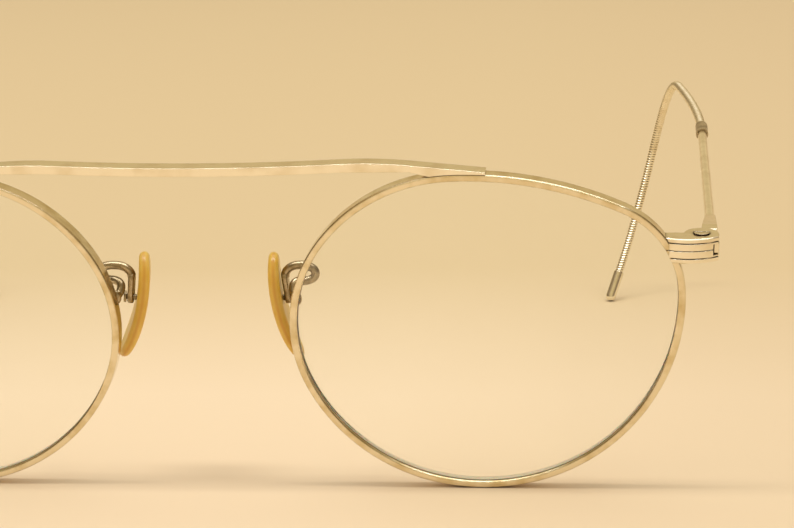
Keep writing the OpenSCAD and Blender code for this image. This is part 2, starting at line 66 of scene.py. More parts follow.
# The rim's outer edge: the direction in which each arc starts, in degrees, its radius
# and its centre, across and up
OUTLINE = (
    (0.5, 11.9022, 44.7974, 24.4602),
    (65.5, 44.308, 31.3589, -5.0279),
    (92.5, 20.6037, 30.3249, 18.6538),
    (145, 17.4031, 27.7031, 20.4896),
    (206, 22.8593, 32.6071, 22.8814),
    (256, 23.6043, 32.7873, 23.6043),
    (315, 24.6573, 32.0427, 24.3489),
)

# The lens. Its faces end LENS_EDGE inside the rim's outer edge, and its bevel's tip lies
# in the rim's groove, LENS_TIP inside that edge and LENS_BEVEL behind the rim's front
LENS_MIDDLE = Vector((33.5, 0, 19.64))
LENS_EDGE = 0.89
LENS_TIP = 0.48
LENS_BEVEL = 1.05
LENS_FRONT = 0.1
LENS_CURVE_RADIUS = 424
LENS_RINGS = 10
LENS_ARC_STEPS = 24
EDGE_BANDS = 4

# The nose pad. The left one leans less by PAD_SKEW and the right one more. Its outline
# is a little squarer than an ellipse, and its ends lose PAD_THINNING of its thickness
PAD_MIDDLE = Vector((8.55, 5.4, 21.3))
PAD_LEAN = math.radians(13.8)
PAD_SKEW = math.radians(1.7)
PAD_SPLAY = math.radians(2)
PAD_CUTS = 30
PAD_FULLNESS = 0.92
PAD_THINNING = 0.15

# The pad's arm: the course of its wire, the braze at its foot, and its flat leg, where
# the pad's rivet goes through and rocks. The three are made one skin of small cells
ARM_ROUTE = (
    (10.95, 2.5, 23.5), (10.75, 3.0, 23.6), (10.45, 3.5, 24.1), (10.55, 3.9, 24.7),
    (11.2, 4.3, 25.0), (12.0, 4.6, 25.0), (12.85, 4.8, 25.3), (13.1, 4.9, 25.8),
    (12.85, 5.0, 26.35), (12.1, 5.0, 26.65), (11.2, 4.95, 26.7), (10.3, 4.9, 26.55),
    (9.7, 4.9, 26.15), (9.4, 4.9, 25.7), (9.35, 4.9, 25.2),
)
ARM_FOOT = Vector((10.95, 2.1, 23.5))
BRAZE_RADIUS = 0.75
BRAZE_STANDS_OFF = Vector((0, 0.35, 0))
BRAZE_SHAPE = (1, 0.6, 1.25, 1)
LEG = Vector((9.6, 4.9, 22.7))
LEG_LEAN = math.radians(6.5)
LEG_HALF_WIDTH = 0.8
LEG_THICKNESS = 0.7
LEG_RISE = 2.4
LEG_ROUNDING = 0.15
ARM_VOXEL = 0.07

# The temples turn on the hinge screws, which lean sideways. The right one was left open
# to its stop, further out than the left one
HINGE = Vector((58.45, 1.9, 30.1))
HINGE_TILT = math.radians(1.2)
RIGHT_OPEN = math.radians(4.5)

# The ear cable: straight, then the curl, then a nearly straight tail. It draws in
# towards the head on its way, and the temple's outward spread dies away in it. The cap
# covers the last 4.2 mm, and the winding ends just before the cap. The face of the wound
# wire is flatter than a round crown
CABLE_START = Vector((60.9548, 61.8046, 26.9598))
CABLE_FALL = math.radians(3)
CABLE_SPREAD = math.radians(1.2)
SPREAD_FADE = 15
CABLE_RUN = 32
CURL_RADIUS = 12
CURL_TURN = math.radians(105)
CURL_LENGTH = CURL_RADIUS * CURL_TURN
CURL_INSET = 13
TAIL_RADIUS = 65
CABLE_LENGTH = 75.99
WINDING_LENGTH = CABLE_LENGTH - 4.22
COURSE_STEPS = 180
CROWN_STEPS = 5
CROWN_FULLNESS = 0.6
TURN_STEPS = 20

# The studio, in metres: the sheet of paper and the curve in which it goes up behind the
# object, then each lamp's place, what it points at and its size. The overhead lamp
# stands in the plane of the leaning front, so that its shadow lies under the rims
PAPER_SIZE = (4, 2)
PAPER_CURVE = 0.3
PAPER_TURN = math.radians(-70)
OVERHEAD_LAMP = ((0, -0.228, 1.6), (0, -0.05, 0), (2, 0.22))
WIDE_SOFT_BOX = ((0, 0.4, 2), (0, 0.4, 0), (3, 3))

# Sockets of a Mix node for colours: its factor, its two colours and its result
FACTOR, FIRST, SECOND, BLENDED = 0, 6, 7, 2


def linear(code):
    """Linear red, green, blue and alpha of an sRGB hex colour."""
    out = []
    for start in (0, 2, 4):
        value = int(code[start:start + 2], 16) / 255
        out.append(value / 12.92 if value <= 0.04045 else ((value + 0.055) / 1.055) ** 2.4)
    return (*out, 1.0)


def add_node(tree, kind, values=None, links=None, **settings):
    """One node with its settings, its sockets' values and what is linked to them."""
    made = tree.nodes.new(kind)
    for name, value in settings.items():
        setattr(made, name, value)
    for socket, value in (values or {}).items():
        made.inputs[socket].default_value = value
    for socket, source in (links or {}).items():
        tree.links.new(source, made.inputs[socket])
    return made


def new_material(name):
    """An empty node material, its tree and each point's place on the object."""
    made = bpy.data.materials.new(name)
    made.use_nodes = True
    tree = made.node_tree
    tree.nodes.clear()
    return made, tree, add_node(tree, "ShaderNodeTexCoord").outputs["Object"]


def metal_material(
    name, polished, worn, film_and_shade, smooth, rough, edge, patch, grain, film_and_shade_range=(0.25, 0.72)
):
    """A worn metal. Its colours are those of its polished face, of its worn patches and
    of the film and painted shade in its corners, and smooth and rough are the finish of the
    first two. The rounding of an edge, a patch and the grain are sizes in millimetres, and
    the grain is drawn coarser than the marks of real polishing, so that it shows.
    film_and_shade_range says how open a corner still has film and painted shade all over,
    and how open the first face without them is."""
    made, tree, place = new_material(name)
    patches = add_node(
        tree, "ShaderNodeTexNoise",
        {"Scale": 1 / (patch * MM), "Detail": 3.0}, {"Vector": place},
    ).outputs["Fac"]
    fine = add_node(
        tree, "ShaderNodeTexNoise",
        {"Scale": 1 / (grain * MM), "Detail": 2.0}, {"Vector": place},
    ).outputs["Fac"]
    wear = add_node(
        tree, "ShaderNodeMapRange", {"From Min": 0.42, "From Max": 0.72}, {"Value": patches}
    ).outputs[0]
    face = add_node(
        tree, "ShaderNodeMix", {FIRST: polished, SECOND: worn}, {FACTOR: wear},
        data_type="RGBA",
    ).outputs[BLENDED]
    # Corners within 0.45 mm of another face are painted dark: partly film, partly painted
    # shade
    openness = add_node(
        tree, "ShaderNodeAmbientOcclusion", {"Distance": 0.45 * MM}, samples=8
    ).outputs["AO"]
    clean_and_lit = add_node(
        tree, "ShaderNodeMapRange",
        {"From Min": film_and_shade_range[0], "From Max": film_and_shade_range[1]}, {"Value": openness},
    ).outputs[0]
    colour = add_node(
        tree, "ShaderNodeMix", {FIRST: film_and_shade}, {FACTOR: clean_and_lit, SECOND: face},
        data_type="RGBA",
    ).outputs[BLENDED]
    dullness = add_node(
        tree, "ShaderNodeMapRange",
        {"From Min": 0.3, "From Max": 0.7, "To Min": smooth, "To Max": rough},
        {"Value": patches},
    ).outputs[0]
    rubbing = add_node(
        tree, "ShaderNodeMapRange",
        {"From Min": 0.3, "From Max": 0.7, "To Min": -0.03, "To Max": 0.05},
        {"Value": fine},
    ).outputs[0]
    finish = add_node(
        tree, "ShaderNodeMath", links={0: dullness, 1: rubbing}, operation="ADD"
    ).outputs[0]
    rounded = add_node(tree, "ShaderNodeBevel", {"Radius": edge * MM}, samples=6).outputs[0]
    bump = add_node(
        tree, "ShaderNodeBump", {"Strength": 0.12, "Distance": 0.01 * MM},
        {"Height": fine, "Normal": rounded},
    ).outputs[0]
    shader = add_node(
        tree, "ShaderNodeBsdfPrincipled", {"Metallic": 1.0},
        {"Base Color": colour, "Roughness": finish, "Normal": bump},
    )
    add_node(tree, "ShaderNodeOutputMaterial", links={"Surface": shader.outputs[0]})
    return made


def rolled_gold():
    """White gold rolled onto a base metal and drawn to wire, polished, then worn for
    decades: a pale warm mirror with soft dull patches some 2.6 mm wide, rubbing marks
    0.12 mm apart, and a brown film with painted shade in the corners."""
    look = bpy.context.scene.spectacles_metal
    return metal_material(
        "rolled_white_gold", look.gold, look.rubbed, look.film_and_shade,
        smooth=0.1, rough=0.22, edge=0.12, patch=2.6, grain=0.12,
    )


def end_piece_gold():
    """The rolled gold of the end pieces and hinge screws. Their thin grooves were cut
    with a saw and never polished inside, and they are painted dark with grease and painted
    shade."""
    look = bpy.context.scene.spectacles_metal
    return metal_material(
        "rolled_gold_end_piece", look.gold, look.rubbed, look.grease_and_shade,
        # The wide range paints the grooves' insides fully dark: grease and painted shade
        smooth=0.1, rough=0.22, edge=0.08, patch=2.6, grain=0.12, film_and_shade_range=(0.6, 0.97),
    )


def rim_wire():
    """The same rolled gold, drawn through rounded rolls, so that the rims' faces turn
    over into their sides without an edge. Its colours are painted darker and yellower than
    the bar's, a painted shade for the rims' darker reflections, with worn patches some
    2.2 mm wide and mostly painted shade along the lens's edge."""
    look = bpy.context.scene.spectacles_metal
    return metal_material(
        "rolled_gold_rim_wire", look.rim, look.worn_and_shaded_rim, look.rim_film_and_shade,
        smooth=0.1, rough=0.2, edge=0.3, patch=2.2, grain=0.12,
    )


def nickel_fittings():
    """Nickel silver wire, bent and brazed, never plated: greyer, duller and greasier
    than the rims, in patches 1.1 mm wide, with a dark film and painted shade in its
    corners."""
    look = bpy.context.scene.spectacles_metal
    return metal_material(
        "drawn_nickel_silver", look.nickel, look.tarnish, look.grime_and_shade,
        smooth=0.22, rough=0.38, edge=0.06, patch=1.1, grain=0.08,
    )


def wound_wire():
    """Flat gold-filled wire wound tight over a steel core: every turn catches its own
    thin highlight, the joints between the turns take the brown film and painted shade,
    and hair has rubbed the turns dull in patches some 1.8 mm wide."""
    look = bpy.context.scene.spectacles_metal
    return metal_material(
        "wound_gold_wire", look.gold, look.rubbed, look.film_and_shade,
        smooth=0.18, rough=0.3, edge=0.02, patch=1.8, grain=0.1,
    )


def core_steel():
    """Hard-drawn spring steel wire, as it leaves the die: grey with a satin face and die
    marks 0.08 mm apart. It only shows where the winding is taken off."""
    return metal_material(
        # The third colour is the film and painted shade in the corners
        "spring_steel_wire", linear("a8a49c"), linear("8b867c"), linear("4a4238"),
        smooth=0.25, rough=0.38, edge=0.02, patch=1.0, grain=0.08,
    )


def seen_through(tree, shader):
    """Ends a lens material so that lamps shine through it, since a real lens throws next
    to no shadow."""
    clear = add_node(tree, "ShaderNodeBsdfTransparent", {"Color": linear("fafbf9")})
    lamp_ray = add_node(tree, "ShaderNodeLightPath").outputs["Is Shadow Ray"]
    mixed = add_node(
        tree, "ShaderNodeMixShader", links={0: lamp_ray, 1: shader, 2: clear.outputs[0]}
    )
    add_node(tree, "ShaderNodeOutputMaterial", links={"Surface": mixed.outputs[0]})


def crown_glass():
    """Ground and polished crown glass: colourless, with a few faint smears about 7 mm
    wide that only take the edge off its shine."""
    made, tree, place = new_material("crown_glass")
    smear = add_node(
        tree, "ShaderNodeTexNoise",
        {"Scale": 1 / (7 * MM), "Detail": 4.0}, {"Vector": place},
    ).outputs["Fac"]
    haze = add_node(
        tree, "ShaderNodeMapRange",
        {"From Min": 0.6, "From Max": 0.85, "To Max": 0.02}, {"Value": smear},
    ).outputs[0]
    glass = add_node(
        tree, "ShaderNodeBsdfPrincipled",
        {"Base Color": linear("fdfefd"), "IOR": 1.523, "Transmission Weight": 1.0},
        {"Roughness": haze},
    )
    seen_through(tree, glass.outputs[0])
    return made


def ground_edge():
    """The lens's edge as the wheel left it, bevelled for the groove and never polished:
    a fine frost that takes the rim's colour, with grit marks about 0.1 mm apart."""
    made, tree, place = new_material("ground_lens_edge")
    grit = add_node(
        tree, "ShaderNodeTexNoise",
        {"Scale": 1 / (0.1 * MM), "Detail": 2.0}, {"Vector": place},
    ).outputs["Fac"]
    bump = add_node(
        tree, "ShaderNodeBump", {"Strength": 0.3, "Distance": 0.01 * MM}, {"Height": grit}
    ).outputs[0]
    tone = add_node(
        tree, "ShaderNodeMix", {FIRST: linear("e2d0a6"), SECOND: linear("faefd8")},
        {FACTOR: grit}, data_type="RGBA",
    ).outputs[BLENDED]
    frost = add_node(
        tree, "ShaderNodeBsdfPrincipled",
        {
            "IOR": 1.523,
            "Roughness": 0.5,
            "Subsurface Weight": 0.5,
            "Subsurface Scale": 0.5 * MM,
        },
        {"Base Color": tone, "Normal": bump},
    )
    seen_through(tree, frost.outputs[0])
    return made


def amber_celluloid():
    """Cellulose nitrate sheet, cut, bent warm and polished by tumbling: a honey colour
    with clouds about 3.2 mm wide that glows where it is thin and deepens in the middle
    of its thickness, and a skin that tumbling left faintly uneven every 0.3 mm."""
    look = bpy.context.scene.spectacles_pads
    made, tree, place = new_material("amber_celluloid")
    skin = add_node(tree, "ShaderNodeUVMap", uv_map="thickness").outputs["UV"]
    depth = add_node(tree, "ShaderNodeSeparateXYZ", links={"Vector": skin}).outputs["Y"]
    cloud = add_node(
        tree, "ShaderNodeTexNoise",
        {"Scale": 1 / (3.2 * MM), "Detail": 3.0}, {"Vector": place},
    ).outputs["Fac"]
    fine = add_node(
        tree, "ShaderNodeTexNoise",
        {"Scale": 1 / (0.3 * MM), "Detail": 3.0}, {"Vector": place},
    ).outputs["Fac"]
    paleness = add_node(
        tree, "ShaderNodeMapRange", {"From Min": 0.35, "From Max": 0.65}, {"Value": cloud}
    ).outputs[0]
    body = add_node(
        tree, "ShaderNodeMix", {FIRST: look.honey, SECOND: look.pale}, {FACTOR: paleness},
        data_type="RGBA",
    ).outputs[BLENDED]
    middle = add_node(
        tree, "ShaderNodeMapRange", {"From Max": 0.2, "To Min": 0.75, "To Max": 0},
        {"Value": depth},
    ).outputs[0]
    colour = add_node(
        tree, "ShaderNodeMix", {SECOND: look.deep}, {FACTOR: middle, FIRST: body},
        data_type="RGBA",
    ).outputs[BLENDED]
    polish = add_node(
        tree, "ShaderNodeMapRange",
        {"From Min": 0.3, "From Max": 0.7, "To Min": 0.28, "To Max": 0.42},
        {"Value": cloud},
    ).outputs[0]
    bump = add_node(
        tree, "ShaderNodeBump", {"Strength": 0.1, "Distance": 0.02 * MM}, {"Height": fine}
    ).outputs[0]
    shader = add_node(
        tree, "ShaderNodeBsdfPrincipled",
        {
            "IOR": 1.5,
            "Subsurface Weight": 0.45,
            "Subsurface Radius": (1.0, 0.8, 0.35),
            "Subsurface Scale": 0.9 * MM,
            "Coat Weight": 0.25,
            "Coat Roughness": 0.2,
        },
        {"Base Color": colour, "Roughness": polish, "Normal": bump},
    )
    add_node(tree, "ShaderNodeOutputMaterial", links={"Surface": shader.outputs[0]})
    return made


def cream_paper():
    """Matt background paper with fibres about 0.9 mm apart: cream, with painted light
    falloff, lighter where it lies nearest, and painted shade a little darker to the right."""
    look = bpy.context.scene.spectacles_studio
    made, tree, place = new_material("cream_paper")
    across, back, _ = add_node(
        tree, "ShaderNodeSeparateXYZ", links={"Vector": place}
    ).outputs
    # Painted light falloff: the paper darkens from under the object to behind it
    distance = add_node(
        tree, "ShaderNodeMapRange", {"From Min": -0.01, "From Max": 0.07}, {"Value": back}
    ).outputs[0]
    colour = add_node(
        tree, "ShaderNodeMix", {FIRST: look.near, SECOND: look.far}, {FACTOR: distance},
        data_type="RGBA",
    ).outputs[BLENDED]
    # Painted shade: the paper darkens to the right
    painted_shade_right = add_node(
        tree, "ShaderNodeMapRange", {"From Min": 0.02, "From Max": 0.1, "To Max": 0.5},
        {"Value": across},
    ).outputs[0]
    colour = add_node(
        tree, "ShaderNodeMix", {SECOND: look.shade}, {FACTOR: painted_shade_right, FIRST: colour},
        data_type="RGBA",
    ).outputs[BLENDED]
    fibres = add_node(
        tree, "ShaderNodeTexNoise",
        {"Scale": 1 / (0.9 * MM), "Detail": 3.0}, {"Vector": place},
    ).outputs["Fac"]
    bump = add_node(
        tree, "ShaderNodeBump", {"Strength": 0.08, "Distance": 0.05 * MM},
        {"Height": fibres},
    ).outputs[0]
    shader = add_node(
        tree, "ShaderNodeBsdfPrincipled", {"Roughness": 0.9, "Specular IOR Level": 0.2},
        {"Base Color": colour, "Normal": bump},
    )
    add_node(tree, "ShaderNodeOutputMaterial", links={"Surface": shader.outputs[0]})
    return made


def room_world():
    """An even pale room. Mirrors see it in full: tan at the back, brown at both sides,
    with a lit ceiling."""
    world = bpy.data.worlds.new("studio_room")
    bpy.context.scene.world = world
    world.use_nodes = True
    tree = world.node_tree
    tree.nodes.clear()
    way = add_node(tree, "ShaderNodeTexCoord").outputs["Generated"]
    across, _, up = add_node(tree, "ShaderNodeSeparateXYZ", links={"Vector": way}).outputs
    height = add_node(
        tree, "ShaderNodeMapRange", {"From Max": 0.35}, {"Value": up}
    ).outputs[0]
    tone = add_node(
        tree, "ShaderNodeMix", {FIRST: linear("ecd5a6"), SECOND: linear("d0b887")},
        {FACTOR: height}, data_type="RGBA",
    ).outputs[BLENDED]
    aside = add_node(
        tree, "ShaderNodeMath", links={0: across}, operation="ABSOLUTE"
    ).outputs[0]
    walls = add_node(
        tree, "ShaderNodeMapRange", {"From Min": 0.25, "From Max": 0.85, "To Max": 0.85},
        {"Value": aside},
    ).outputs[0]
    tone = add_node(
        tree, "ShaderNodeMix", {SECOND: linear("5c4529")}, {FACTOR: walls, FIRST: tone},
        data_type="RGBA",
    ).outputs[BLENDED]
    ceiling = add_node(
        tree, "ShaderNodeMapRange", {"From Min": 0.78, "From Max": 0.92}, {"Value": up}
    ).outputs[0]
    tone = add_node(
        tree, "ShaderNodeMix", {SECOND: linear("fff6ea")}, {FACTOR: ceiling, FIRST: tone},
        data_type="RGBA",
    ).outputs[BLENDED]
    strength = add_node(
        tree, "ShaderNodeMapRange",
        {"From Min": 0.78, "From Max": 0.92, "To Min": 1, "To Max": 1.5}, {"Value": up},
    ).outputs[0]
    mirrors = add_node(
        tree, "ShaderNodeBackground", links={"Color": tone, "Strength": strength}
    )
    air = add_node(
        tree, "ShaderNodeBackground", {"Color": linear("f7f3ee"), "Strength": 0.61}
    )
    glossy = add_node(tree, "ShaderNodeLightPath").outputs["Is Glossy Ray"]
    both = add_node(
        tree, "ShaderNodeMixShader",
        links={0: glossy, 1: air.outputs[0], 2: mirrors.outputs[0]},
    )
    add_node(tree, "ShaderNodeOutputWorld", links={"Surface": both.outputs[0]})


def both_sides(*names):
    """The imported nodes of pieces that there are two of."""
    return [f"{side}_{name}" for name in names for side in SIDES]


# The nodes that keep their solid, by the finish that they get
KEPT_NODES = (
    (rolled_gold, ["brow_bar", *both_sides("temple", "cable_cap")]),
    (end_piece_gold, both_sides("upper_lug", "lower_lug", "hinge_screw")),
    (rim_wire, both_sides("rim")),
    (nickel_fittings, both_sides("ferrule", "pad_rivet")),
    (core_steel, both_sides("cable_core")),
)


def dress(node, material):
    """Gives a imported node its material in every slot."""
    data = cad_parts[node].data
    if not data.materials:
        data.materials.append(material)
    for index in range(len(data.materials)):
        data.materials[index] = material


def alone(piece):
    """Makes a piece the only one selected and the active one."""
    bpy.ops.object.select_all(action="DESELECT")
    piece.select_set(True)
    bpy.context.view_layer.objects.active = piece


def named(name):
    """The active object under its new name."""
    piece = bpy.context.view_layer.objects.active
    piece.name = name
    piece.data.name = name
    return piece


def placed(piece, matrix):
    """Puts a piece in its place, with the place in its mesh."""
    alone(piece)
    piece.matrix_world = matrix
    bpy.ops.object.transform_apply(location=True, rotation=True, scale=True)


def modified(piece, kind, **settings):
    """Adds a modifier and applies it."""
    alone(piece)
    made = piece.modifiers.new(kind.lower(), kind)
    for name, value in settings.items():
        setattr(made, name, value)
    bpy.ops.object.modifier_apply(modifier=made.name)


def only_edges(piece, wanted):
    """Selects the edges that a test of their two vertices picks, ready for edit mode."""
    bpy.ops.object.mode_set(mode="EDIT")
    bpy.ops.mesh.select_mode(type="EDGE")
    bpy.ops.mesh.select_all(action="DESELECT")
    bpy.ops.object.mode_set(mode="OBJECT")
    for edge in piece.data.edges:
        edge.select = wanted(*(piece.data.vertices[k] for k in edge.vertices))


def settled(piece, matrix):
    """Puts a finished piece in its place, with its faces outwards."""
    placed(piece, matrix)
    bpy.ops.object.mode_set(mode="EDIT")
    bpy.ops.mesh.select_all(action="SELECT")
    bpy.ops.mesh.normals_make_consistent(inside=False)
    bpy.ops.object.mode_set(mode="OBJECT")
    bpy.ops.object.shade_smooth_by_angle(angle=math.radians(40))


def finished(piece, node, body, materials):
    """Says what a new piece is made of, moves with and stands for."""
    for material in materials:
        piece.data.materials.append(material)
    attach(piece, body)
    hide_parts(node)


def copied(piece, name):
    """A copy of a piece with its own mesh."""
    made = piece.copy()
    made.data = piece.data.copy()
    made.name = name
    made.data.name = name
    bpy.context.scene.collection.objects.link(made)
    return made


def handed(side):
    """The place of everything on one side: the right is the left one mirrored."""
    return STANDING if side == "left" else STANDING @ MIRROR


def turned_about(place, tilt, angle):
    """A turn about an upright axis that leans sideways through a place."""
    there = Matrix.Translation(place * MM)
    lean = Matrix.Rotation(-tilt, 4, "Y")
    turn = Matrix.Rotation(angle, 4, "Z")
    return there @ lean @ turn @ lean.inverted() @ there.inverted()


def size_property(name, description, size):
    """A length that a user can change, given in millimetres."""
    return bpy.props.FloatProperty(
        name=name, description=description, default=size * MM, unit="LENGTH"
    )


def angle_property(name, description, angle):
    """An angle that a user can change, given in degrees."""
    return bpy.props.FloatProperty(
        name=name, description=description, default=math.radians(angle), subtype="ANGLE"
    )


def power_property(name, description, power):
    """A lamp's power that a user can change, given in watts."""
    return bpy.props.FloatProperty(
        name=name, description=description, default=power, unit="POWER"
    )


def colour_property(name, description, code):
    """A colour that a user can change, given as an sRGB hex colour."""
    return bpy.props.FloatVectorProperty(
        name=name, description=description, size=4, subtype="COLOR", min=0, max=1,
        default=linear(code),
    )


class MetalLook(bpy.types.PropertyGroup):
    """Colours of the metal."""

    gold: colour_property("Gold", "Rolled white gold where it is polished", "f4edda")
    rubbed: colour_property("Rubbed gold", "Its soft dull patches", "e6dabf")
    # Brown film, which also paints shade into the corners
    film_and_shade: colour_property("Film", "The brown film in its corners", "54360f")
    # Dark grease and painted shade in the end pieces' grooves
    grease_and_shade: colour_property("Grease", "What fills the end pieces' grooves", "3c2203")
    # Rim and worn rim are a shaded copy of the gold: painted shade, darker and yellower
    # than the bar
    rim: colour_property("Rim", "The rims where they are polished", "eadfc4")
    worn_and_shaded_rim: colour_property("Worn rim", "The rims' dull patches", "d2bf92")
    # Mostly painted shade along the lens's edge, where the rim's groove lies in shade
    rim_film_and_shade: colour_property("Rim film", "The film along the lens's edge", "86652f")
    nickel: colour_property("Nickel", "The fittings where they are bright", "b5a68a")
    tarnish: colour_property("Tarnish", "The fittings' dull patches", "827152")
    # Dark film and painted shade in the fittings' corners
    grime_and_shade: colour_property("Grime", "The film in the fittings' corners", "46351f")


class LensLook(bpy.types.PropertyGroup):
    """Sizes of the lenses."""

    thickness: size_property("Lens thickness", "Thickness of a lens", 1.3)
    flat: size_property(
        "Bevel flat", "Width of the edge's flat on each side of its bevel", 0.22
    )


class PadLook(bpy.types.PropertyGroup):
    """Sizes and colours of the nose pads, and the size of the wire that carries them."""

    honey: colour_property("Honey", "Most of a pad", "ddb142")
    pale: colour_property("Pale honey", "A pad's lighter clouds", "e4c05e")
    deep: colour_property("Deep honey", "The middle of a pad's thickness", "cc902c")
    height: size_property("Pad height", "Height of a nose pad", 13.8)
    width: size_property("Pad width", "Width of a nose pad", 6.4)
    thickness: size_property("Pad thickness", "Thickness of a nose pad", 1.4)
    bow: size_property("Pad bow", "Radius that a pad is bent to", 23.4)
    rock: angle_property("Pad rock", "Angle that each pad was left rocked at", 8)
    arm_wire: size_property("Arm wire", "Thickness of a pad arm's wire", 1.05)


class CableLook(bpy.types.PropertyGroup):
    """Sizes of the winding over the ear cables."""

    width: size_property("Cable width", "Thickness over the winding", 1.3)
    pitch: size_property("Wire width", "Width of the wire that is wound", 0.42)
    crown: size_property("Wire crown", "How far each turn stands proud", 0.06)


class StudioLook(bpy.types.PropertyGroup):
    """The camera, the paper and the light."""

    place: bpy.props.FloatVectorProperty(
        name="Camera place", description="Where the camera stands",
        default=(50.648 * MM, -295.416 * MM, 83.228 * MM), unit="LENGTH",
    )
    heading: angle_property("Heading", "Turn of the camera to its right", -5.814)
    tilt: angle_property("Tilt", "Angle that the camera looks down", 12.687)
    roll: angle_property("Roll", "Turn of the camera about its own line", -1.36)
    lens: bpy.props.FloatProperty(
        name="Lens", description="Focal length on a 36 mm wide sensor", default=97.48
    )
    near: colour_property("Near paper", "The paper under the object", "f5dbb4")
    # The far paper is darker as painted light falloff
    far: colour_property("Far paper", "The paper behind the object", "e0c595")
    # Painted shade on the paper far to the right
    shade: colour_property("Shaded paper", "The paper far to the right", "dcc092")
    overhead: power_property("Overhead lamp", "Power of the lamp overhead", 13)
    wide: power_property("Soft box", "Power of the wide soft box", 9)


class SPECTACLES_OT_metal(bpy.types.Operator):
    """Finish the rims, bar, end pieces, temples and fittings"""

    bl_idname = "spectacles.metal"
    bl_label = "Finish the metal"

    def execute(self, context):
        for finish, nodes in KEPT_NODES:
            material = finish()
            for node in nodes:
                dress(node, material)
        return {"FINISHED"}


def outline_place(share, inset):
    """A point of the rim's outline, inset, at a share of each arc counted in whole arcs."""
    index, part = divmod(share, 1)
    turn, radius, across, up = OUTLINE[int(index) % len(OUTLINE)]
    following = OUTLINE[(int(index) + 1) % len(OUTLINE)][0]
    angle = math.radians(turn + (following - turn) % 360 * part)
    reach = radius - inset
    return Vector((across + reach * math.cos(angle), 0, up + reach * math.sin(angle)))


class SPECTACLES_OT_lenses(bpy.types.Operator):
    """Model both lenses"""

    bl_idname = "spectacles.lenses"
    bl_label = "Model the lenses"

    def execute(self, context):
        look = context.scene.spectacles_lenses
        thickness = look.thickness / MM
        flat = look.flat / MM
        # Each ring's share of the way out, how far inside the rim's outline it ends, and
        # its depth behind the lens's front. The bevel's tip has none: it fits the groove
        shares = [0.02 + 0.98 * k / LENS_RINGS for k in range(LENS_RINGS + 1)]
        rings = [(share, LENS_EDGE, 0) for share in shares]
        rings += [(1, LENS_EDGE, flat), (1, LENS_TIP, None)]
        rings += [(1, LENS_EDGE, thickness - flat)]
        rings += [(share, LENS_EDGE, thickness) for share in reversed(shares)]
        # A disc is drawn out into a tube, and each of its rings then goes to its place
        around = LENS_ARC_STEPS * len(OUTLINE)
        bpy.ops.object.select_all(action="DESELECT")
        bpy.ops.mesh.primitive_circle_add(
            vertices=around, radius=1, fill_type="NGON", rotation=(math.radians(90), 0, 0)
        )
        lens = named("left_crown_lens")
        bpy.ops.object.transform_apply(location=True, rotation=True, scale=True)
        bpy.ops.object.mode_set(mode="EDIT")
        bpy.ops.mesh.select_mode(type="FACE")
        bpy.ops.mesh.select_all(action="SELECT")
        for _ in rings[1:]:
            bpy.ops.mesh.extrude_region_move(TRANSFORM_OT_translate={"value": (0, 1, 0)})
        bpy.ops.object.mode_set(mode="OBJECT")
        # The bands between the two faces are the ground edge, the second material
        for face in lens.data.polygons:
            on_edge = LENS_RINGS < face.center.y < LENS_RINGS + EDGE_BANDS
            face.material_index = 1 if on_edge else 0
        for corner in lens.data.vertices:
            share, inset, depth = rings[round(corner.co.y)]
            turn = math.atan2(corner.co.z, corner.co.x) / math.tau % 1
            rim = outline_place(round(turn * around) % around / LENS_ARC_STEPS, inset)
            place = LENS_MIDDLE.lerp(rim, share)
            if depth is None:
                place.y = LENS_BEVEL
            else:
                reach = (place - LENS_MIDDLE).length
                level = math.sqrt(LENS_CURVE_RADIUS ** 2 - reach ** 2)
                place.y = LENS_FRONT + (LENS_CURVE_RADIUS - level) + depth
            corner.co = place * MM
        other = copied(lens, "right_crown_lens")
        materials = [crown_glass(), ground_edge()]
        for side, piece in zip(SIDES, (lens, other)):
            settled(piece, handed(side))
            finished(piece, f"{side}_lens", "front", materials)
        return {"FINISHED"}


